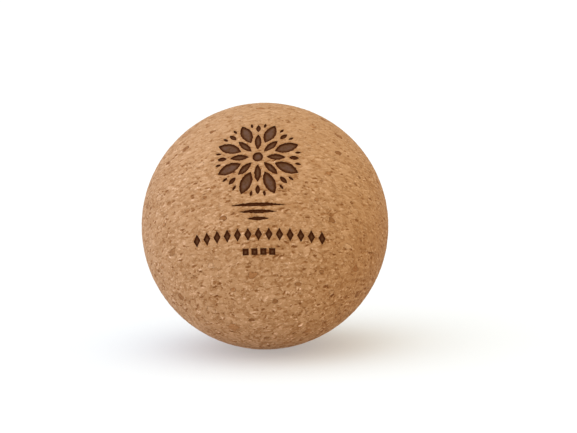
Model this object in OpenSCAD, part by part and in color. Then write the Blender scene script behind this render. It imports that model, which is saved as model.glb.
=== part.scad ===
// Cork massage ball: a solid ball of pressed cork granules, turned and sanded
// round, with a mark burned into it by a laser.
//
// Frame: origin at the centre of the ball, +Z up, -Y the front. The ball lies
// as it is shown on a shelf, with the mark facing the front and tilted up.
//
// The ball is one block of granules in a binder, so it holds no fasteners and
// nothing in it moves. The nodes are the materials it is made of: the bonded
// body, the large granules that stand out on its skin, sorted by kind, and the
// layers of char that the laser left in the three parts of the mark.

/* [Ball] */
// Diameter of the ball
ball_d = 40; // [30:1:65]

/* [Granules] */
// Sites on the skin where a large granule may lie
granule_sites = 200; // [60:20:240]
// Size of the smallest large granule, across its flat side
granule_min = 0.7; // [0.4:0.1:1.0]
// Size of the largest granule, across its flat side
granule_max = 1.9; // [1.1:0.1:2.2]
// How much thinner a granule is along the pressing direction
granule_flatness = 1.9; // [1.0:0.1:3.0]
// How far a granule reaches below the skin
granule_depth = 0.6; // [0.3:0.1:1.2]
// Angle of the pressing direction above the front horizontal, in degrees
press_tilt = -54; // [-90:1:90]

/* [Laser mark] */
// Angle of the laser's axis above the front horizontal, in degrees
mark_tilt = 27; // [0:1:60]
// Depth of the burned mark below the skin
burn_depth = 0.22; // [0.15:0.01:0.5]
// Thickness of the char on the floor of the mark
char_t = 0.12; // [0.05:0.01:0.3]

/* [Emblem] */
// Height of the flower's centre above the laser's axis
flower_v = 4.6; // [2:0.1:5]
// Radius of the flower
flower_r = 6.7; // [4:0.1:7]
// Petals in each of the two rings
petals = 8; // [5:1:10]
// Width of an outer petal
petal_w = 1.8; // [1:0.1:2.4]
// Length of the bud between two outer petals
bud_l = 1.5; // [1:0.1:1.8]
// Level ripples under the flower, as on water
ripples = 3; // [1:1:3]

/* [Border] */
// Height of the border below the laser's axis
border_v = -7.6; // [-8.5:0.1:-7]
// Lozenges in the border
lozenges = 13; // [3:2:13]
// Distance between lozenges
lozenge_pitch = 1.6; // [1.3:0.1:1.7]
// Height of a lozenge
lozenge_h = 1.9; // [1:0.1:2.2]

/* [Size pips] */
// Height of the row of pips below the laser's axis
pips_v = -10.0; // [-11:0.1:-9.8]
// Pips, one for each 10 mm of the ball's diameter
pips = 4; // [1:1:7]
// Distance between pips
pip_pitch = 1.35; // [1.1:0.05:1.5]
// Side of a pip, which is a square
pip_w = 0.95; // [0.7:0.05:1.0]

/* [Hidden] */

R = ball_d / 2;
seed = 4127;
golden = 137.50776;
// Extra length that carries every cutter clear through the skin
clear = 1.2;
// Share of the sites that each kind of granule takes, in tenths
bark_share = 4;
russet_share = 3;

// ---------- directions ----------

// Unit vector to the front, turned up by an angle
function front(a) = [0, -cos(a), sin(a)];
press_dir = front(press_tilt);
mark_dir = front(mark_tilt);
// Up and right in the plane that the laser draws in
mark_up = [0, sin(mark_tilt), cos(mark_tilt)];
mark_right = [1, 0, 0];

function unit(a) = a / norm(a);

// ---------- granules ----------

rnd = rands(-1, 1, granule_sites * 16, seed);
function rn(i, k) = rnd[i * 16 + k];

// Direction of a site: a golden spiral over the ball, shaken a little so that
// no rows show
function site(i) =
    let (
        z = 1 - 2 * (i + 0.5) / granule_sites,
        a = i * golden,
        r = sqrt(1 - z * z),
        shake = 0.8 / R
    )
    unit([
        r * cos(a) + shake * rn(i, 0),
        r * sin(a) + shake * rn(i, 1),
        z + shake * rn(i, 2)
    ]);

// A granule is a flattened lump. Where the skin cuts it face on it is round,
// and where the skin cuts it edge on it is a streak across the pressing
// direction.
function streak_dir(n) =
    let (c = cross(press_dir, n))
    norm(c) < 0.05 ? unit(cross([1, 0, 0], n)) : unit(c);
function thin_share(n) =
    let (c = press_dir * n, s2 = 1 - c * c)
    1 / sqrt(s2 * granule_flatness * granule_flatness + c * c);

// Most granules are small and a few are large
function site_size(i) =
    let (t = (rn(i, 3) + 1) / 2)
    granule_min + (granule_max - granule_min) * t * t;

corners = 9;
function outline(i, n) = [
    for (k = [0 : corners - 1])
        let (
            a = (k + 0.3 * rn(i, 4 + (k % 6))) * 360 / corners,
            r = site_size(i) / 2 * (1 + 0.28 * rn(i, 6 + k))
        )
        [r * cos(a), r * sin(a) * thin_share(n)]
];

// Height of a point on the skin in the laser's plane
function mu(n) = R * (n * mark_right);
function mv(n) = R * (n * mark_up);
function in_mark(n) =
    n * mark_dir > 0 && (
        norm([mu(n), mv(n) - flower_v]) < flower_r + 1.3
        || (abs(mu(n)) < 5.4 && mv(n) < 0 && mv(n) > -6.4)
        || (abs(mu(n)) < (lozenges * lozenge_pitch) / 2 + 1.3
            && abs(mv(n) - border_v) < lozenge_h / 2 + 1.2)
        || (abs(mu(n)) < (pips * pip_pitch) / 2 + 1.3
            && abs(mv(n) - pips_v) < 1.9)
    );

// The kind of granule at a site: 0 bark, 1 russet, 2 pale
function kind(i) =
    let (h = (i * 7) % 10)
    h < bark_share ? 0 : h < bark_share + russet_share ? 1 : 2;

sites = [for (i = [0 : granule_sites - 1]) if (!in_mark(site(i))) i];

// Turns local +Z to the direction n and local +X to the direction t
module toward(n, t) {
    b = cross(n, t);
    multmatrix([
        [t[0], b[0], n[0], 0],
        [t[1], b[1], n[1], 0],
        [t[2], b[2], n[2], 0],
        [0, 0, 0, 1]
    ])
        children();
}

// A straight-sided plug from granule_depth under the skin to past the skin
module granule_plug(i) {
    n = site(i);
    toward(n, streak_dir(n))
        translate([0, 0, R - granule_depth])
            linear_extrude(height = granule_depth + clear)
                polygon(outline(i, n));
}

module granule_plugs(k) {
    for (i = sites)
        if (k == -1 || kind(i) == k)
            granule_plug(i);
}

module granules(k) {
    intersection() {
        sphere(r = R, $fn = 160);
        granule_plugs(k);
    }
}

// ---------- mark, drawn flat in the laser's plane ----------

// A pointed oval, of length l and width w, with its root at the origin and
// its tip on +Y
module petal(l, w) {
    // Two arcs of radius q that meet at both ends of the oval
    q = (l * l + w * w) / (4 * w);
    translate([0, l / 2])
        intersection() {
            translate([q - w / 2, 0]) circle(r = q, $fn = 256);
            translate([w / 2 - q, 0]) circle(r = q, $fn = 256);
        }
}

module petal_ring(count, r0, r1, w, phase) {
    for (k = [0 : count - 1])
        rotate(phase + k * 360 / count)
            translate([0, r0])
                petal(r1 - r0, w);
}

module emblem() {
    translate([0, flower_v]) {
        circle(r = flower_r * 0.125, $fn = 48);
        petal_ring(petals, flower_r * 0.2, flower_r * 0.64, petal_w * 0.6, 0);
        petal_ring(petals, flower_r * 0.42, flower_r, petal_w, 180 / petals);
        petal_ring(petals, flower_r - 1.9, flower_r - 1.9 + bud_l, bud_l / 2, 0);
        // A small leaf on each side of a bud
        for (side = [-1, 1])
            petal_ring(petals, flower_r - 0.95, flower_r, 0.44, side * 76 / petals);
    }
    for (k = [0 : ripples - 1])
        ripple(flower_v - flower_r - 1.15 - k * 1.05, 8.6 - k * 2.6);
}

// A ripple that lies level, w wide
module ripple(v, w) {
    translate([-w / 2, v])
        rotate(-90)
            petal(w, 0.6);
}

module border() {
    for (k = [0 : lozenges - 1])
        translate([(k - (lozenges - 1) / 2) * lozenge_pitch, border_v])
            polygon([
                [0, -lozenge_h / 2],
                [lozenge_pitch * 0.36, 0],
                [0, lozenge_h / 2],
                [-lozenge_pitch * 0.36, 0]
            ]);
}

module size_pips() {
    for (k = [0 : pips - 1])
        translate([(k - (pips - 1) / 2) * pip_pitch, pips_v])
            square(pip_w, center = true);
}

// ---------- mark, burned along the laser's axis ----------

// Carries a flat drawing along the laser's axis, through the front half only
module beam() {
    toward(mark_dir, mark_right)
        translate([0, 0, R * 0.3])
            linear_extrude(height = R * 0.7 + clear)
                children();
}

// What the laser takes from the body: everything above the floor of the char
module burn() {
    difference() {
        beam() children();
        sphere(r = R - burn_depth - char_t, $fn = 160);
    }
}

// The char that is left on the floor of the burn
module char_layer() {
    difference() {
        intersection() {
            sphere(r = R - burn_depth, $fn = 160);
            beam() children();
        }
        sphere(r = R - burn_depth - char_t, $fn = 160);
    }
}

// ---------- nodes ----------

module cork_body() {
    color([0.76, 0.56, 0.40])
        difference() {
            sphere(r = R, $fn = 160);
            granule_plugs(-1);
            burn() emblem();
            burn() border();
            burn() size_pips();
        }
}

module bark_granules() {
    color([0.42, 0.26, 0.16]) granules(0);
}

module russet_granules() {
    color([0.62, 0.40, 0.26]) granules(1);
}

module pale_granules() {
    color([0.87, 0.71, 0.55]) granules(2);
}

module emblem_char() {
    color([0.23, 0.15, 0.12]) char_layer() emblem();
}

module border_char() {
    color([0.23, 0.15, 0.12]) char_layer() border();
}

module size_pips_char() {
    color([0.23, 0.15, 0.12]) char_layer() size_pips();
}

cork_body();
bark_granules();
russet_granules();
pale_granules();
emblem_char();
border_char();
size_pips_char();
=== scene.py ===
# The looks of a massage ball of pressed cork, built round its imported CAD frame.
# Lengths in this file are in millimetres until a mesh is made, and then in metres.
import math

import bpy
import numpy as np
from mathutils import Matrix, Vector
from mathutils.geometry import delaunay_2d_cdt
from mathutils.kdtree import KDTree


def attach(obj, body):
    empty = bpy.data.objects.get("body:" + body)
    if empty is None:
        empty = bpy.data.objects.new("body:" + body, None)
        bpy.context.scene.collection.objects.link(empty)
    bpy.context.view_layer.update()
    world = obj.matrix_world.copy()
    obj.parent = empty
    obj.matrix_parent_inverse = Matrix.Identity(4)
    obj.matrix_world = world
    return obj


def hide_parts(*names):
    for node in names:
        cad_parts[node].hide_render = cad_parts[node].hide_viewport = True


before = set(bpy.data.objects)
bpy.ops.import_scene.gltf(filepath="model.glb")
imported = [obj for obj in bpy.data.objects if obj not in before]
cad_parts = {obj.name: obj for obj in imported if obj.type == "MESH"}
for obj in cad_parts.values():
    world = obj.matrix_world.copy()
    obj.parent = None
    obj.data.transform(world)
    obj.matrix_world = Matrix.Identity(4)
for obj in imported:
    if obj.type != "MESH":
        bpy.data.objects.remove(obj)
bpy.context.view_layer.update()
RNG = np.random.default_rng(4127)

# ---------- the ball's own directions ----------

R = 20.0
MARK_TILT, PRESS_TILT = math.radians(27), math.radians(-54)
MARK = np.array([0, -math.cos(MARK_TILT), math.sin(MARK_TILT)])
UP = np.array([0, math.sin(MARK_TILT), math.cos(MARK_TILT)])
RIGHT = np.array([1.0, 0, 0])
PRESS = np.array([0, -math.cos(PRESS_TILT), math.sin(PRESS_TILT)])
BURN, CHAR = 0.22, 0.12  # depth of the burn, and thickness of the char under it
POCKET = 0.6  # depth of a large granule's pocket
FLAT = 1.9  # how many times longer than thick a pressed granule is


def unit(v):
    return v / np.linalg.norm(v, axis=-1, keepdims=True)


# ---------- node trees ----------


class Net:
    """Adds nodes to a shader tree or a geometry tree, so that both can hold the same pattern."""

    def __init__(self, tree):
        self.t = tree
        self.geo = tree.bl_idname == "GeometryNodeTree"

    def add(self, kind, **settings):
        n = self.t.nodes.new(kind)
        for k, v in settings.items():
            setattr(n, k, v)
        return n

    def put(self, socket, value):
        if isinstance(value, bpy.types.NodeSocket):
            self.t.links.new(value, socket)
        elif value is not None:
            socket.default_value = value

    def math(self, op, a, b=None, c=None, clamp=False):
        n = self.add("ShaderNodeMath", operation=op, use_clamp=clamp)
        for i, v in enumerate((a, b, c)):
            self.put(n.inputs[i], v)
        return n.outputs[0]

    def vec(self, op, a, b=None, scale=None):
        n = self.add("ShaderNodeVectorMath", operation=op)
        self.put(n.inputs[0], a)
        if b is not None:
            self.put(n.inputs[1], b)
        if scale is not None:
            self.put(n.inputs["Scale"], scale)
        return n.outputs["Value" if op in ("DOT_PRODUCT", "LENGTH") else "Vector"]

    def part(self, vector, i):
        n = self.add("ShaderNodeSeparateXYZ")
        self.put(n.inputs[0], vector)
        return n.outputs[i]

    def step(self, value, low, high, to_low=0.0, to_high=1.0):
        """A smooth step from to_low at low to to_high at high."""
        n = self.add("ShaderNodeMapRange", interpolation_type="SMOOTHSTEP")
        for i, v in enumerate((value, low, high, to_low, to_high)):
            self.put(n.inputs[i], v)
        return n.outputs[0]

    def slope(self, value, low, high, to_low=0.0, to_high=1.0):
        """A straight slope from to_low at low to to_high at high."""
        n = self.add("ShaderNodeMapRange", interpolation_type="LINEAR")
        for i, v in enumerate((value, low, high, to_low, to_high)):
            self.put(n.inputs[i], v)
        return n.outputs[0]

    def mix(self, f, a, b):
        n = self.add("ShaderNodeMix", data_type="FLOAT")
        for i, v in zip((0, 2, 3), (f, a, b)):
            self.put(n.inputs[i], v)
        return n.outputs[0]

    def sum(self, *values):
        total = values[0]
        for v in values[1:]:
            total = self.math("ADD", total, v)
        return total

    def times(self, *values):
        total = values[0]
        for v in values[1:]:
            total = self.math("MULTIPLY", total, v)
        return total

    def noise(self, at, scale, detail=2.0, rough=0.5):
        """(value, colour) of a smooth noise, each part about 0 to 1."""
        n = self.add("ShaderNodeTexNoise", noise_dimensions="3D")
        self.put(n.inputs["Vector"], at)
        self.put(n.inputs["Scale"], scale)
        self.put(n.inputs["Detail"], detail)
        self.put(n.inputs["Roughness"], rough)
        return n.outputs[0], n.outputs[1]

    def cells(self, at, scale, feature="F1", spread=1.0):
        """(distance in the pattern's own millimetres, colour of the cell)."""
        n = self.add("ShaderNodeTexVoronoi", voronoi_dimensions="3D", feature=feature)
        self.put(n.inputs["Vector"], at)
        self.put(n.inputs["Scale"], scale)
        self.put(n.inputs["Randomness"], spread)
        colour = n.outputs["Color"] if feature == "F1" else None
        return self.math("DIVIDE", n.outputs["Distance"], scale), colour


def skin_point(net):
    """The point on the skin over this one, in millimetres."""
    if net.geo:
        at = net.add("GeometryNodeInputPosition").outputs[0]
    else:
        at = net.add("ShaderNodeTexCoord").outputs["Object"]
    return net.vec("SCALE", net.vec("NORMALIZE", at), scale=R)


def grain_space(net):
    """Warped space in which a granule is about as long as wide: granules lie flat across the pressing direction."""
    at = skin_point(net)
    along = net.vec("DOT_PRODUCT", at, tuple(PRESS))
    push = net.vec("SCALE", tuple(PRESS), scale=net.times(along, FLAT - 1))
    at = net.vec("ADD", at, push)
    for scale, reach in ((0.55, 0.9), (2.2, 0.26), (4.5, 0.05)):
        shake = net.vec("SUBTRACT", net.noise(at, scale)[1], (0.5, 0.5, 0.5))
        at = net.vec("ADD", at, net.vec("SCALE", shake, scale=reach))
    return at


def face_on(net):
    """1 where the pressing direction meets the skin face on and 0 where it lies along the skin."""
    out = net.vec("NORMALIZE", skin_point(net))
    along = net.vec("DOT_PRODUCT", out, tuple(PRESS))
    return net.times(along, along)


def flakes(net, at, scale, shift, small, large, thick):
    """Flat crumbs scattered through the cork, which lie across the pressing direction, as (body, place, seed): body is 1 inside a crumb, place is how far it lies to one side of the crumb's middle, and seed is its own colour at random."""
    n = net.add("ShaderNodeTexVoronoi", voronoi_dimensions="3D", feature="F1")
    here = net.vec("ADD", at, shift)
    net.put(n.inputs["Vector"], here)
    net.put(n.inputs["Scale"], scale)
    seed = n.outputs["Color"]
    local = net.vec("SUBTRACT", here, n.outputs["Position"])
    along = net.vec("DOT_PRODUCT", local, tuple(PRESS))
    local = net.vec(
        "SUBTRACT", local,
        net.vec("SCALE", tuple(PRESS), scale=net.times(along, 1 - 1 / FLAT)),
    )
    # Each crumb is tilted its own way, and more so where the press met the skin face on
    reach = net.sum(net.times(face_on(net), 1.0), 0.8)
    tilt = net.vec("SCALE", net.vec("SUBTRACT", seed, (0.5, 0.5, 0.5)), scale=reach)
    face = net.vec("NORMALIZE", net.vec("ADD", tuple(PRESS), tilt))
    place = net.vec("DOT_PRODUCT", local, face)
    out = net.vec("LENGTH", net.vec("SUBTRACT", local, net.vec("SCALE", face, scale=place)))
    size = net.times(net.part(seed, 0), net.part(seed, 0))
    size = net.sum(net.times(size, large - small), small)
    bulge = net.math("DIVIDE", out, size)
    bulge = net.math("SUBTRACT", 1.0, net.times(bulge, bulge))
    return net.times(bulge, thick), place, seed


def lens(net, half, place, middle=0.0):
    """1 inside a lens-shaped crumb and 0 outside, with a soft edge."""
    off = net.math("ABSOLUTE", net.math("SUBTRACT", place, middle))
    return net.step(net.math("SUBTRACT", half, off), -0.03, 0.1)


def painted_right_shade(net):
    """1 on the right and the back right of the ball, where darker, warmer shade is painted into the colour."""
    out = net.vec("NORMALIZE", skin_point(net))
    right = net.step(net.vec("DOT_PRODUCT", out, (0.88, -0.2, -0.42)), 0.45, 1.0)
    behind = net.step(net.vec("DOT_PRODUCT", out, (0.6, 0.8, -0.1)), 0.25, 0.85)
    return net.math("MAXIMUM", right, behind)


def cork_pattern(net):
    """tone: how light each spot is, with 0 the usual cork. relief: height in millimetres that the mesh takes. fine: height that is left for the bump."""
    at = grain_space(net)
    # Granules that came through whole, and the smaller ones between them
    _, big = net.cells(at, 0.68)
    big_edge, _ = net.cells(at, 0.68, "DISTANCE_TO_EDGE")
    _, mid = net.cells(at, 1.7)
    mid_edge, _ = net.cells(at, 1.7, "DISTANCE_TO_EDGE")
    whole = net.math("GREATER_THAN", net.part(big, 0), 0.85)
    pick = net.mix(whole, net.part(mid, 1), net.part(big, 1))
    edge = net.math("MINIMUM", mid_edge, big_edge)
    edge = net.mix(whole, edge, big_edge)
    # Most granules are near the usual tone, and a few are far from it
    off = net.math("SUBTRACT", pick, 0.5)
    off = net.sum(net.times(off, 0.3), net.times(off, off, off, 3.2))
    tone = off
    # Seams: only some open up, and those are painted dark as shade in their gaps
    open_here = net.step(net.noise(at, 0.9, 1.0)[0], 0.48, 0.6)
    seam = net.step(edge, 0.0, 0.13, 1.0, 0.0)
    tone = net.sum(tone, net.times(seam, open_here, net.sum(net.times(face_on(net), -0.4), -0.72)))
    # Crumbs of bark are dark, open pores get painted shade, and crumbs of clean cork are light
    crowd = net.step(net.noise(at, 0.4, 2.0)[0], 0.38, 0.62, 0.45, 1.35)
    pits, ridges = [], []
    for scale, shift, small, large, thick, least, rare in (
        (0.95, (31.0, 17.0, 5.0), 0.3, 0.72, 0.2, 0.5, 0.3),
        (1.6, (7.0, 3.0, 11.0), 0.2, 0.34, 0.14, 0.4, 0.55),
    ):
        half, place, seed = flakes(net, at, scale, shift, small, large, thick)
        depth = net.step(net.part(seed, 1), rare, 1.0, 0.0, 1.35)
        depth = net.sum(depth, net.times(net.math("GREATER_THAN", net.part(seed, 1), rare), least))
        depth = net.times(depth, crowd)
        pits.append(net.times(lens(net, half, place), depth))
        # A painted highlight beside the dark crumb, on a lip that the relief also raises a little
        highlight_side = net.math("GREATER_THAN", net.part(seed, 2), 0.5)
        side = net.mix(highlight_side, -1.9 * thick, 1.9 * thick)
        ridges.append(net.times(lens(net, half, place, side), depth, 0.6))
    for scale, shift, small, large, thick, least, rare in (
        (0.95, (19.0, 23.0, 2.0), 0.3, 0.64, 0.19, 0.3, 0.3),
        (1.6, (3.0, 29.0, 13.0), 0.2, 0.34, 0.14, 0.25, 0.5),
    ):
        half, place, seed = flakes(net, at, scale, shift, small, large, thick)
        rise = net.step(net.part(seed, 1), rare, 1.0, 0.0, 0.75)
        rise = net.sum(rise, net.times(net.math("GREATER_THAN", net.part(seed, 1), rare), least))
        ridges.append(net.times(lens(net, half, place), rise))
    pit, ridge = net.sum(*pits), net.sum(*ridges)
    tone = net.sum(tone, net.times(pit, -1.0), ridge)
    # The cork's own cells, and slow drifts over the ball
    grit = net.math("SUBTRACT", net.noise(at, 2.8, 3.0, 0.6)[0], 0.5)
    drift = net.math("SUBTRACT", net.noise(at, 0.16, 1.0)[0], 0.5)
    tone = net.sum(tone, net.times(grit, 1.4), net.times(drift, 0.7))
    # Where the skin cuts the pressed granules edge on, they show as thin layers
    squeeze = net.vec("DOT_PRODUCT", at, tuple(PRESS))
    layers = net.vec("ADD", at, net.vec("SCALE", tuple(PRESS), scale=squeeze))
    layers = net.math("SUBTRACT", net.noise(layers, 0.6, 1.0)[0], 0.5)
    edge_on = net.math("SUBTRACT", 1.0, face_on(net))
    tone = net.sum(tone, net.times(layers, edge_on, 1.4))
    wide_seam = net.step(edge, 0.0, 0.2, 1.0, 0.0)
    relief = net.sum(
        net.times(wide_seam, net.mix(open_here, -0.008, -0.04)),
        net.times(pit, -0.03),
        net.times(ridge, 0.015),
        net.times(net.math("SUBTRACT", pick, 0.5), 0.02),
        net.times(net.math("SUBTRACT", net.noise(at, 2.2, 1.0)[0], 0.5), 0.04),
    )
    fine = net.sum(
        net.times(seam, net.mix(open_here, -0.01, -0.04)),
        net.times(pit, -0.012), net.times(ridge, 0.008), net.times(grit, 0.035),
    )
    # The crown was sanded finer, so less shows there, and flat sides of granules show more
    out = net.vec("NORMALIZE", skin_point(net))
    up = net.vec("DOT_PRODUCT", out, (0.08, -0.3, 0.95))
    shown = net.sum(net.times(face_on(net), 0.21), 0.91)
    # One side of the block was a coarser batch, and darker shade is painted onto the right and back right
    coarser = net.step(net.vec("DOT_PRODUCT", out, (0.55, -0.7, -0.45)), 0.75, 1.0, 1.0, 1.16)
    tone = net.times(tone, net.step(up, 0.6, 0.95, 1.0, 0.62), shown, coarser)
    tone = net.sum(tone, net.times(painted_right_shade(net), -0.5))
    return tone, relief, fine


def measure(me, names_and_fields):
    """Values of the pattern at each vertex of a mesh in metres, as arrays."""
    tree = bpy.data.node_groups.new("field", "GeometryNodeTree")
    tree.interface.new_socket("Geometry", in_out="INPUT", socket_type="NodeSocketGeometry")
    tree.interface.new_socket("Geometry", in_out="OUTPUT", socket_type="NodeSocketGeometry")
    net = Net(tree)
    geometry = net.add("NodeGroupInput").outputs[0]
    for name, value in names_and_fields(net).items():
        store = net.add("GeometryNodeStoreNamedAttribute", data_type="FLOAT", domain="POINT")
        store.inputs["Name"].default_value = name
        net.put(store.inputs["Geometry"], geometry)
        net.put(store.inputs["Value"], value)
        geometry = store.outputs[0]
    net.put(net.add("NodeGroupOutput").inputs[0], geometry)
    ob = bpy.data.objects.new("field", me)
    bpy.context.scene.collection.objects.link(ob)
    modifier = ob.modifiers.new("field", "NODES")
    modifier.node_group = tree
    dg = bpy.context.evaluated_depsgraph_get()
    done = ob.evaluated_get(dg).data
    out = {}
    for name in names_and_fields.keys:
        values = np.zeros(len(done.vertices), np.float32)
        done.attributes[name].data.foreach_get("value", values)
        out[name] = values.astype(float)
    bpy.data.objects.remove(ob)
    bpy.data.node_groups.remove(tree)
    return out


def skin_fields(net):
    _, relief, _ = cork_pattern(net)
    return {"relief": relief}


skin_fields.keys = ("relief",)

# ---------- meshes ----------


def points_of(me):
    co = np.zeros(len(me.vertices) * 3, np.float32)
    me.vertices.foreach_get("co", co)
    return co.reshape(-1, 3).astype(float) * 1000


def set_points(me, points):
    me.vertices.foreach_set("co", (points / 1000).astype(np.float32).ravel())
    me.update()


def mesh_of(name, points, faces):
    me = bpy.data.meshes.new(name)
    me.from_pydata((np.asarray(points) / 1000).tolist(), [], faces)
    me.update()
    return me


def object_of(name, me):
    ob = bpy.data.objects.new(name, me)
    bpy.context.scene.collection.objects.link(ob)
    return ob


CUBE = [(a, b, np.cross(a, b)) for a, b in (
    (RIGHT, UP), (UP, RIGHT), (UP, MARK), (MARK, UP), (MARK, RIGHT), (RIGHT, MARK))]


def ball_mesh(n):
    """A ball of six square patches with nearly even quads."""
    t = np.tan((np.arange(n + 1) / n * 2 - 1) * math.pi / 4)
    b, a = np.meshgrid(t, t, indexing="ij")
    points, faces = [], []
    i = np.arange(n * (n + 1)).reshape(n, n + 1)[:, :-1].ravel()
    quads = np.stack([i, i + 1, i + n + 2, i + n + 1], 1)
    for k, (u, v, w) in enumerate(CUBE):
        points.append(
            (w + a[..., None] * u + b[..., None] * v).reshape(-1, 3)
        )
        faces.append(quads + k * (n + 1) ** 2)
    points = unit(np.concatenate(points)) * R
    faces = np.concatenate(faces)
    _, first, same = np.unique(
        np.round(points, 5), axis=0, return_index=True, return_inverse=True
    )
    same = same.ravel()
    return mesh_of("ball", points[first], same[faces].tolist())


def lay_uv(me):
    """A map with one tile for each patch of the ball, so that a wall under the skin takes no room in it."""
    co = points_of(me)
    loops = np.zeros(len(me.loops), np.int32)
    me.loops.foreach_get("vertex_index", loops)
    starts = np.zeros(len(me.polygons), np.int32)
    counts = np.zeros(len(me.polygons), np.int32)
    me.polygons.foreach_get("loop_start", starts)
    me.polygons.foreach_get("loop_total", counts)
    middle = np.add.reduceat(co[loops], starts, axis=0)
    face = np.argmax([middle @ w for _, _, w in CUBE], axis=0)
    face = np.repeat(face, counts)
    p = co[loops]
    uv = np.zeros((len(loops), 2))
    for k, (u, v, w) in enumerate(CUBE):
        mine = face == k
        q = p[mine]
        depth = q @ w
        a = np.arctan2(q @ u, depth) / (math.pi / 4)
        b = np.arctan2(q @ v, depth) / (math.pi / 4)
        tile = np.array([k % 3, k // 3])
        uv[mine] = (tile + 0.5 + np.stack([a, b], 1) * 0.492) / (3, 2)
    layer = me.uv_layers.new(name="OFBake")
    layer.data.foreach_set("uv", uv.astype(np.float32).ravel())


def walk(corners, step):
    """Points along a closed outline, about step apart, corners kept."""
    out = []
    for p, q in zip(corners, np.roll(corners, -1, axis=0)):
        count = max(1, int(round(np.linalg.norm(q - p) / step)))
        out.extend(p + (q - p) * i / count for i in range(count))
    return np.array(out)


def wobble(outline, reach, pitch, rng):
    """Pushes an outline in and out a little, as a ragged edge."""
    n = len(outline)
    along = np.linalg.norm(np.roll(outline, -1, axis=0) - outline, axis=1)
    turns = max(2, int(round(along.sum() / pitch)))
    angle = np.cumsum(along) / along.sum() * 2 * math.pi
    push = np.zeros(n)
    for k in range(1, turns + 1):
        a, b = rng.normal(size=2) / math.sqrt(turns)
        push += a * np.cos(k * angle) + b * np.sin(k * angle)
    side = np.roll(outline, -1, axis=0) - np.roll(outline, 1, axis=0)
    side = unit(np.stack([side[:, 1], -side[:, 0]], 1) + 1e-9)
    # A pointed end stays as it is, or its two sides would cross
    before = unit(outline - np.roll(outline, 1, axis=0))
    after = unit(np.roll(outline, -1, axis=0) - outline)
    points = outline[(before * after).sum(1) < 0.82]
    for p in points:
        push *= np.clip(np.linalg.norm(outline - p, axis=1) / 0.9, 0, 1)
    return outline + side * (push * reach)[:, None]


def fill(outline, pitch):
    """(points, triangles): a flat mesh of an outline, which runs counter-clockwise. The first len(outline) points are
    the outline's own, in order.
    """
    low, high = outline.min(0), outline.max(0)
    xs = np.arange(low[0], high[0], pitch)
    ys = np.arange(low[1], high[1], pitch * 0.866)
    grid = np.array(
        [(x + (j % 2) * pitch / 2, y) for j, y in enumerate(ys) for x in xs]
    ).reshape(-1, 2)
    a, b = outline, np.roll(outline, -1, axis=0)
    if len(grid):
        inside = np.zeros(len(grid), bool)
        near = np.full(len(grid), 1e9)
        for p, q in zip(a, b):
            crosses = (p[1] > grid[:, 1]) != (q[1] > grid[:, 1])
            with np.errstate(divide="ignore", invalid="ignore"):
                x = (q[0] - p[0]) * (grid[:, 1] - p[1]) / (q[1] - p[1]) + p[0]
            inside ^= crosses & (grid[:, 0] < x)
            d = q - p
            t = np.clip(((grid - p) @ d) / max(d @ d, 1e-12), 0, 1)
            near = np.minimum(near, np.linalg.norm(grid - p - t[:, None] * d, axis=1))
        grid = grid[inside & (near > pitch * 0.45)]
    points = np.concatenate([outline, grid]) if len(grid) else outline
    n = len(outline)
    edges = [(i, (i + 1) % n) for i in range(n)]
    got = delaunay_2d_cdt([Vector(p) for p in points], edges, [], 1, 1e-7)
    if len(got[0]) != len(points):
        raise ValueError(f"an outline crosses itself: {len(got[0])} {len(points)}")
    order = [o[0] for o in got[3]]
    faces = []
    for f in got[2]:
        f = [order[i] for i in f]
        p = points[f]
        turn = np.cross(p[1] - p[0], p[2] - p[0])
        faces.append(f if turn > 0 else f[::-1])
    return points, faces


def slab(outline, pitch, low, high):
    """(points, faces) of a closed solid over an outline. low and high carry flat points to 3-D."""
    flat, faces = fill(outline, pitch)
    n, m = len(outline), len(flat)
    points = np.concatenate([high(flat), low(flat)])
    all_faces = [list(f) for f in faces] + [[i + m for i in f[::-1]] for f in faces]
    for i in range(n):
        j = (i + 1) % n
        all_faces.append([i, i + m, j + m, j])
    return points, all_faces, m


def joined(solids):
    points, faces, at = [], [], 0
    for p, f, *_ in solids:
        points.append(p)
        faces += [[i + at for i in one] for one in f]
        at += len(p)
    return np.concatenate(points), faces


# ---------- the mark, drawn flat ----------


def petal(length, width, root, angle, centre):
    q = (length**2 + width**2) / (4 * width)
    y = (1 - np.cos(np.linspace(0, math.pi, 25))) / 2 * length
    half = np.sqrt(q**2 - (y - length / 2) ** 2) - (q - width / 2)
    half = np.maximum(half, 0)
    right = np.stack([half, y], 1)
    left = np.stack([-half, y], 1)[::-1][1:-1]
    p = np.concatenate([right, left]) + (0, root)
    c, s = math.cos(angle), math.sin(angle)
    return p @ np.array([[c, s], [-s, c]]) + centre


def circle(r, centre, n=40):
    a = np.arange(n) / n * 2 * math.pi
    return np.stack([np.cos(a), np.sin(a)], 1) * r + centre


FLOWER_V, FLOWER_R, PETALS, PETAL_W, BUD = 4.6, 6.7, 8, 1.8, 1.5
centre = np.array([0, FLOWER_V])
emblem = [circle(FLOWER_R * 0.125, centre)]
for k in range(PETALS):
    turn = 2 * math.pi * k / PETALS
    emblem.append(
        petal(FLOWER_R * 0.44, PETAL_W * 0.6, FLOWER_R * 0.2, turn, centre)
    )
    emblem.append(
        petal(FLOWER_R * 0.58, PETAL_W, FLOWER_R * 0.42, turn + math.pi / PETALS, centre)
    )
    emblem.append(petal(BUD, BUD / 2, FLOWER_R - 1.9, turn, centre))
    for side in (-1, 1):
        lean = side * math.radians(76 / PETALS)
        emblem.append(petal(0.95, 0.44, FLOWER_R - 0.95, turn + lean, centre))
for k in range(3):
    wide = 8.6 - k * 2.6
    at = np.array([-wide / 2, FLOWER_V - FLOWER_R - 1.15 - k * 1.05])
    emblem.append(petal(wide, 0.6, 0.0, -math.pi / 2, at))
border = [
    np.array([[0, -0.95], [0.576, 0], [0, 0.95], [-0.576, 0]])
    + ((k - 6) * 1.6, -7.6)
    for k in range(13)
]
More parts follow.
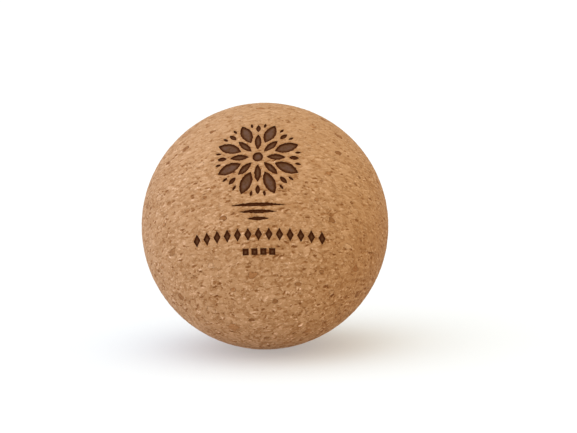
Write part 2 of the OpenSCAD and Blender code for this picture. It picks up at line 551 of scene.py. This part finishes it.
pips = [
    np.array([[-0.475, -0.475], [0.475, -0.475], [0.475, 0.475], [-0.475, 0.475]])
    + ((k - 1.5) * 1.35, -10.0)
    for k in range(4)
]


def burned(outline):
    # A small shape has no room for a ragged edge
    small = np.ptp(outline, axis=0).max() < 1.6
    outline = walk(outline[::2] if small and len(outline) > 20 else outline, 0.1)
    return outline if small else wobble(outline, 0.022, 0.5, RNG)


emblem, border, pips = ([burned(o) for o in g] for g in (emblem, border, pips))


def beam_to(radius):
    """Carries flat points of the mark along its axis to a sphere."""

    def lift(flat):
        w = np.sqrt(np.maximum(radius**2 - (flat**2).sum(1), 0))
        return flat[:, :1] * RIGHT + flat[:, 1:] * UP + w[:, None] * MARK

    return lift


# ---------- the large granules, from their CAD solids ----------


def islands(me):
    """Vertex numbers of each loose part of a mesh."""
    root = np.arange(len(me.vertices))

    def top(i):
        while root[i] != i:
            root[i] = root[root[i]]
            i = root[i]
        return i

    co = points_of(me)
    # Vertices that share a place are one
    _, first, same = np.unique(
        np.round(co, 4), axis=0, return_index=True, return_inverse=True
    )
    same = same.ravel()
    for e in me.edges:
        a, b = top(first[same[e.vertices[0]]]), top(first[same[e.vertices[1]]])
        if a != b:
            root[b] = a
    groups = {}
    for i in first:
        groups.setdefault(top(i), []).append(i)
    return [co[g] for g in groups.values()]


def hull(points):
    """Corners of the convex hull, counter-clockwise."""
    points = sorted(map(tuple, points))
    out = []
    for pts in (points, points[::-1]):
        chain = []
        for p in pts:
            while len(chain) > 1 and (
                (chain[-1][0] - chain[-2][0]) * (p[1] - chain[-2][1])
                - (chain[-1][1] - chain[-2][1]) * (p[0] - chain[-2][0])
            ) <= 1e-9:
                chain.pop()
            chain.append(p)
        out += chain[:-1]
    return np.array(out)


class Chip:
    """One large granule: its place on the skin, and its outline there."""

    def __init__(self, co, rng):
        skin = co[np.linalg.norm(co, axis=1) > R - 0.02]
        self.n = unit(skin.mean(0))
        across = np.cross(PRESS, self.n)
        self.t = unit(across) if np.linalg.norm(across) > 0.05 else unit(
            np.cross([1.0, 0, 0], self.n)
        )
        self.b = np.cross(self.n, self.t)
        corners = hull(np.stack([skin @ self.t, skin @ self.b], 1))
        middle = corners.mean(0)
        a = np.arctan2(*(corners - middle).T[::-1])
        r = np.linalg.norm(corners - middle, axis=1)
        order = np.argsort(a)
        a, r = a[order], r[order]
        # A smooth, uneven outline through the corners
        n = 40
        at = np.arange(n) / n * 2 * math.pi - math.pi
        smooth = np.interp(at, a, r, period=2 * math.pi)
        for _ in range(2):
            smooth = (np.roll(smooth, 1) + 2 * smooth + np.roll(smooth, -1)) / 4
        outline = np.stack([np.cos(at), np.sin(at)], 1) * smooth[:, None] + middle
        size = math.sqrt(np.ptp(outline[:, 0]) * np.ptp(outline[:, 1]))
        self.outline = wobble(outline, 0.05 * size, 0.7 * size, rng)
        self.size = size

    def at(self, flat, radius=None, depth=None):
        """Flat points carried along the granule's axis, to a sphere or to a flat floor."""
        if depth is None:
            w = np.sqrt(np.maximum(radius**2 - (flat**2).sum(1), 0))
        else:
            w = np.full(len(flat), depth)
        return flat[:, :1] * self.t + flat[:, 1:] * self.b + w[:, None] * self.n


chips = {
    name: [Chip(co, RNG) for co in islands(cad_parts[name].data)]
    for name in ("bark_granules", "russet_granules", "pale_granules")
}

# ---------- the body ----------

body_me = ball_mesh(192)
cutters = []
for o in emblem + border + pips:
    cutters.append(
        slab(o, 0.35, beam_to(R - BURN - CHAR), beam_to(R + 1.0))
    )
for group in chips.values():
    for c in group:
        cutters.append(
            slab(
                c.outline, 0.5,
                lambda f, c=c: c.at(f, depth=R - POCKET),
                lambda f, c=c: c.at(f, depth=R + 1.0),
            )
        )
body = object_of("cork_ball_body", body_me)
cutter = object_of("cutter", mesh_of("cutter", *joined(cutters)))
cut = body.modifiers.new("cut", "BOOLEAN")
cut.operation, cut.solver, cut.object = "DIFFERENCE", "MANIFOLD", cutter
dg = bpy.context.evaluated_depsgraph_get()
body.data = bpy.data.meshes.new_from_object(body.evaluated_get(dg), depsgraph=dg)
body.modifiers.clear()
bpy.data.objects.remove(cutter)
body_me = body.data
body_me.name = "cork_ball_body"

# Distance of each point of the skin to the nearest burned edge and pocket edge
co = points_of(body_me)
skin = np.linalg.norm(co, axis=1) > R - 0.004


def nearest(edge_points, co, reach):
    tree = KDTree(len(edge_points))
    for i, p in enumerate(edge_points):
        tree.insert(p, i)
    tree.balance()
    low, high = edge_points.min(0) - reach, edge_points.max(0) + reach
    out = np.full(len(co), 99.0)
    for i in np.flatnonzero(((co > low) & (co < high)).all(1)):
        out[i] = tree.find(co[i])[2]
    return out


burn_edge = np.concatenate(
    [beam_to(R)(walk(o, 0.04)) for o in emblem + border + pips]
)
pocket_edge = np.concatenate(
    [c.at(walk(c.outline, 0.05), radius=R) for g in chips.values() for c in g]
)
to_burn = nearest(burn_edge, co, 1.5)
to_pocket = nearest(pocket_edge, co, 0.5)

relief = measure(body_me, skin_fields)["relief"]
drop = 0.035 * np.exp(-((to_burn / 0.14) ** 2)) + 0.02 * np.exp(
    -((to_pocket / 0.1) ** 2)
)
radius = np.linalg.norm(co, axis=1)
radius = np.where(skin, radius + relief - drop, radius)
co = unit(co) * radius[:, None]
set_points(body_me, co)


def keep_value(me, name, values):
    a = me.attributes.new(name, "FLOAT", "POINT")
    a.data.foreach_set("value", np.asarray(values, np.float32))


keep_value(body_me, "scorch", np.exp(-((to_burn / 0.3) ** 2)))
body_me.shade_smooth()
body_me.set_sharp_from_angle(angle=math.radians(48))
lay_uv(body_me)

# ---------- the granules that fill the pockets ----------


def chip_piece(name, group, rng):
    solids, tops, tones = [], [], []
    for c in group:
        shrink = 1 - min(0.04 / (c.size / 2), 0.12)
        outline = c.outline.mean(0) + (c.outline - c.outline.mean(0)) * shrink
        p, f, m = slab(
            outline, 0.13,
            lambda q, c=c: c.at(q, depth=R - POCKET + 0.02),
            lambda q, c=c: c.at(q, radius=R),
        )
        # How far each point of the top is inside the outline
        flat = np.stack([p[:m] @ c.t, p[:m] @ c.b], 1)
        inside = np.full(m, 1e9)
        for a, b in zip(outline, np.roll(outline, -1, axis=0)):
            d = b - a
            t = np.clip(((flat - a) @ d) / max(d @ d, 1e-12), 0, 1)
            inside = np.minimum(
                inside, np.linalg.norm(flat - a - t[:, None] * d, axis=1)
            )
        lift = rng.uniform(-0.02, 0.02) - 0.03 * np.exp(-inside / 0.07)
        solids.append((p, f))
        tops.append(np.concatenate([lift, np.full(len(p) - m, np.nan)]))
        tones.append(np.full(len(p), rng.uniform(0, 1)))
    me = mesh_of(name, *joined(solids))
    tops = np.concatenate(tops)
    relief = measure(me, skin_fields)["relief"]
    co = points_of(me)
    radius = np.linalg.norm(co, axis=1)
    top = ~np.isnan(tops)
    radius[top] += np.where(np.isnan(tops), 0, tops)[top] + 0.6 * relief[top]
    set_points(me, unit(co) * radius[:, None])
    keep_value(me, "chip", np.concatenate(tones))
    me.shade_smooth()
    me.set_sharp_from_angle(angle=math.radians(48))
    return object_of(name, me)


# ---------- the char that lines the burns ----------


def char_fields(net):
    at = skin_point(net)
    rough = net.noise(at, 1.6, 3.0, 0.6)[0]
    return {"relief": net.times(net.math("SUBTRACT", rough, 0.5), 0.16)}


char_fields.keys = ("relief",)


def char_piece(name, outlines):
    solids, tops, insides = [], [], []
    for outline in outlines:
        p, f, m = slab(
            outline, 0.12, beam_to(R - BURN - CHAR + 0.005), beam_to(R - BURN)
        )
        flat = np.stack([p[:m] @ RIGHT, p[:m] @ UP], 1)
        inside = np.full(m, 1e9)
        for a, b in zip(outline, np.roll(outline, -1, axis=0)):
            d = b - a
            t = np.clip(((flat - a) @ d) / max(d @ d, 1e-12), 0, 1)
            inside = np.minimum(
                inside, np.linalg.norm(flat - a - t[:, None] * d, axis=1)
            )
        solids.append((p, f))
        rise = 0.05 * np.exp(-inside / 0.1)
        tops.append(np.concatenate([rise, np.full(len(p) - m, np.nan)]))
        insides.append(np.concatenate([inside, np.zeros(len(p) - m)]))
    me = mesh_of(name, *joined(solids))
    tops, insides = np.concatenate(tops), np.concatenate(insides)
    relief = measure(me, char_fields)["relief"]
    co = points_of(me)
    radius = np.linalg.norm(co, axis=1)
    top = ~np.isnan(tops)
    radius[top] += np.where(np.isnan(tops), 0, tops)[top] + relief[top]
    set_points(me, unit(co) * radius[:, None])
    keep_value(me, "inside", insides)
    me.shade_smooth()
    me.set_sharp_from_angle(angle=math.radians(48))
    return object_of(name, me)


# ---------- materials ----------

# Colour of the usual cork, and how it goes as the tone rises by 1, as natural logs of the linear red, green and blue
USUAL = np.array([0.414, 0.212, 0.0895])
TONE = np.array([0.26, 0.408, 0.665])
# The warm tint that the painted shade on the right and back right is multiplied by
RIGHT_SHADE_TINT = (1.03, 0.99, 0.885, 1)


def toned(t, usual=USUAL):
    grow = TONE if t < 0 else TONE * (1.02, 0.84, 0.79)
    return tuple(np.clip(usual * np.exp(grow * t), 0, 1)) + (1.0,)


def ramp(net, value, stops):
    """A colour ramp through (place, colour) stops."""
    n = net.add("ShaderNodeValToRGB")
    net.put(n.inputs[0], value)
    e = n.color_ramp.elements
    while len(e) > 1:
        e.remove(e[-1])
    e[0].position, e[0].color = stops[0]
    for place, colour in stops[1:]:
        s = e.new(place)
        s.color = colour
    return n.outputs[0]


def tone_colour(net, tone, usual=USUAL, low=-4.0, high=3.0):
    place = net.slope(tone, low, high)
    stops = []
    for i in range(15):
        t = low + (high - low) * i / 14
        stops.append((i / 14, toned(t, usual)))
    return ramp(net, place, stops)


def mix_colour(net, f, a, b, blend="MIX"):
    n = net.add("ShaderNodeMix", data_type="RGBA", blend_type=blend)
    net.put(n.inputs[0], f)
    net.put(n.inputs[6], a)
    net.put(n.inputs[7], b)
    return n.outputs[2]


def new_material(name):
    m = bpy.data.materials.new(name)
    m.use_nodes = True
    net = Net(m.node_tree)
    shader = m.node_tree.nodes["Principled BSDF"]
    shader.inputs["Specular IOR Level"].default_value = 0.28
    return m, net, shader


def attribute(net, name):
    return net.add("ShaderNodeAttribute", attribute_name=name).outputs["Fac"]


def finish_material(net, shader, colour, rough, height):
    net.put(shader.inputs["Base Color"], colour)
    net.put(shader.inputs["Roughness"], rough)
    bump = net.add("ShaderNodeBump")
    bump.inputs["Strength"].default_value = 1.0
    bump.inputs["Distance"].default_value = 0.001
    net.put(bump.inputs["Height"], height)
    net.put(shader.inputs["Normal"], bump.outputs[0])


def cork_material():
    m, net, shader = new_material("pressed_cork")
    tone, _, fine = cork_pattern(net)
    # The laser's heat browns the skin round the mark, and blackens the walls of the burn
    heat = net.times(attribute(net, "scorch"), net.step(net.noise(skin_point(net), 2.5)[0], 0.3, 0.7, 0.4, 1.0))
    tone = net.sum(tone, net.times(heat, -0.65))
    depth = net.math("SUBTRACT", R, net.times(net.vec("LENGTH", net.add("ShaderNodeTexCoord").outputs["Object"]), 1000.0))
    wall = net.step(depth, 0.09, 0.2)
    wall = net.times(wall, net.step(attribute(net, "scorch"), 0.5, 0.9))
    colour = tone_colour(net, tone)
    # Painted warm shade on the right and back right
    colour = mix_colour(net, painted_right_shade(net), colour, RIGHT_SHADE_TINT, "MULTIPLY")
    colour = mix_colour(net, wall, colour, (0.05, 0.022, 0.012, 1))
    rough = net.slope(tone, -3.0, 2.0, 0.9, 0.66)
    finish_material(net, shader, colour, rough, fine)
    return m


def granule_material(name, base, spread, usual):
    m, net, shader = new_material(name)
    tone, _, fine = cork_pattern(net)
    at = grain_space(net)
    own = net.times(net.math("SUBTRACT", attribute(net, "chip"), 0.5), spread)
    grit = net.math("SUBTRACT", net.noise(at, 3.2, 3.0, 0.6)[0], 0.5)
    tone = net.sum(net.times(tone, 0.45), own, net.times(grit, 2.6), base)
    colour = tone_colour(net, tone, np.array(usual))
    # Painted warm shade on the right and back right
    colour = mix_colour(net, painted_right_shade(net), colour, RIGHT_SHADE_TINT, "MULTIPLY")
    rough = net.slope(tone, -3.0, 2.0, 0.9, 0.66)
    finish_material(net, shader, colour, rough, fine)
    return m


def char_material():
    m, net, shader = new_material("laser_char")
    at = skin_point(net)
    inside = attribute(net, "inside")
    ash = net.noise(at, 1.4, 4.0, 0.65)[0]
    # Blackest along the edges, and greyer where the beam ran over flat cork
    middle = net.times(net.step(inside, 0.16, 0.62), net.step(ash, 0.25, 0.65, 0.35, 1.0))
    fleck = net.noise(at, 5.0, 2.0, 0.6)[0]
    colour = ramp(
        net, net.sum(middle, net.times(net.math("SUBTRACT", fleck, 0.5), 0.5)),
        [
            (0.0, (0.052, 0.0115, 0.002, 1)),
            (0.45, (0.098, 0.041, 0.016, 1)),
            (1.0, (0.118, 0.057, 0.036, 1)),
        ],
    )
    rough = net.slope(ash, 0.2, 0.8, 0.95, 0.75)
    shader.inputs["Specular IOR Level"].default_value = 0.04
    height = net.times(net.math("SUBTRACT", fleck, 0.5), 0.12)
    finish_material(net, shader, colour, rough, height)
    return m


def dress(ob, material):
    ob.data.materials.clear()
    ob.data.materials.append(material)


CHIPS = {
    "bark_granules": ("bark_chips", "bark_cork", -1.5, 1.2, USUAL * (0.95, 0.93, 0.9)),
    "russet_granules": ("russet_chips", "russet_cork", -0.8, 0.8, USUAL * (1.0, 0.93, 0.85)),
    "pale_granules": ("pale_chips", "pale_cork", 0.55, 0.7, USUAL),
}
dress(body, cork_material())
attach(body, "root")
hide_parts("cork_body")
for node, (name, slot, base, spread, usual) in CHIPS.items():
    ob = chip_piece(name, chips[node], RNG)
    dress(ob, granule_material(slot, base, spread, usual))
    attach(ob, "root")
    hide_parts(node)
char = char_material()
for node, name, outlines in (
    ("emblem_char", "burned_emblem", emblem),
    ("border_char", "burned_border", border),
    ("size_pips_char", "burned_pips", pips),
):
    ob = char_piece(name, outlines)
    dress(ob, char)
    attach(ob, "root")
    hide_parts(node)

# ---------- studio ----------

scene = bpy.context.scene
scene.view_settings.view_transform = "Standard"

n = 96
ring = [(math.cos(a), math.sin(a)) for a in np.arange(n) / n * 2 * math.pi]
floor_me = bpy.data.meshes.new("studio_floor")
floor_me.from_pydata(
    [(8 * x, 8 * y, -R / 1000) for x, y in ring], [], [list(range(n))]
)
floor = object_of("studio_floor", floor_me)
m, net, shader = new_material("studio_floor")
at = net.add("ShaderNodeTexCoord").outputs["Object"]
shade = net.noise(at, 3.0)[0]
net.put(
    shader.inputs["Base Color"],
    ramp(net, shade, [(0.0, (0.50, 0.485, 0.455, 1)), (1.0, (0.52, 0.505, 0.475, 1))]),
)
shader.inputs["Roughness"].default_value = 1.0
shader.inputs["Specular IOR Level"].default_value = 0.0
# The floor is a white table that is lit a little from under
shader.inputs["Emission Color"].default_value = (1, 1, 1, 1)
shader.inputs["Emission Strength"].default_value = 0.33
dress(floor, m)

# Soft boxes: where each is, how narrow, and its colour. The ring is the studio's white wall, low down.
RING = (1.0, 1.0, 1.0)
BOXES = [
    ((-0.1, -0.1, 1.0), 6.0, (1.61, 2.01, 2.46)),
    ((0.0, 0.0, 1.0), 2.0, (0.25, 0.27, 0.27)),
    ((-0.6, -0.55, 0.6), 2.0, (0.46, 0.52, 0.68)),
    ((-1.0, -0.2, 0.25), 2.0, (1.19, 1.33, 1.72)),
    ((0.7, -0.3, 0.7), 2.0, (1.14, 0.94, 0.5)),
    ((0.0, 1.0, 0.4), 2.0, (0.32, 0.31, 0.3)),
]
world = bpy.data.worlds.new("studio")
world.use_nodes = True
net = Net(world.node_tree)
towards = net.vec("NORMALIZE", net.add("ShaderNodeTexCoord").outputs["Generated"])
wall = net.step(net.part(towards, 2), 0.1, 0.32, 1.0, 0.0)
light = net.vec("SCALE", RING, scale=wall)
for place, narrow, colour in BOXES:
    place = Vector(place).normalized()
    lobe = net.math("MAXIMUM", net.vec("DOT_PRODUCT", towards, tuple(place)), 0.0)
    lobe = net.math("POWER", lobe, narrow)
    light = net.vec("ADD", light, net.vec("SCALE", colour, scale=lobe))
back = world.node_tree.nodes["Background"]
net.put(back.inputs["Color"], light)
scene.world = world

# ---------- camera ----------

AZ, EL, ROLL, FAR = math.radians(3), math.radians(8), math.radians(1.7), 0.30
away = Vector(
    (math.sin(AZ) * math.cos(EL), -math.cos(AZ) * math.cos(EL), math.sin(EL))
)
cam = bpy.data.objects.new("camera", bpy.data.cameras.new("camera"))
scene.collection.objects.link(cam)
cam.matrix_world = (
    Matrix.Translation(away * FAR)
    @ away.to_track_quat("Z", "Y").to_matrix().to_4x4()
    @ Matrix.Rotation(-ROLL, 4, "Z")
)
# The ball is 123.4 pixels in radius on a picture 577 pixels wide
WIDE = 577
edge = math.tan(math.asin(R / 1000 / FAR))
cam.data.sensor_width = 36
cam.data.lens = 123.4 / edge / WIDE * 36
cam.data.shift_x, cam.data.shift_y = 23.5 / WIDE, 9.6 / WIDE
cam.data.clip_start, cam.data.clip_end = 0.01, 50
scene.camera = cam
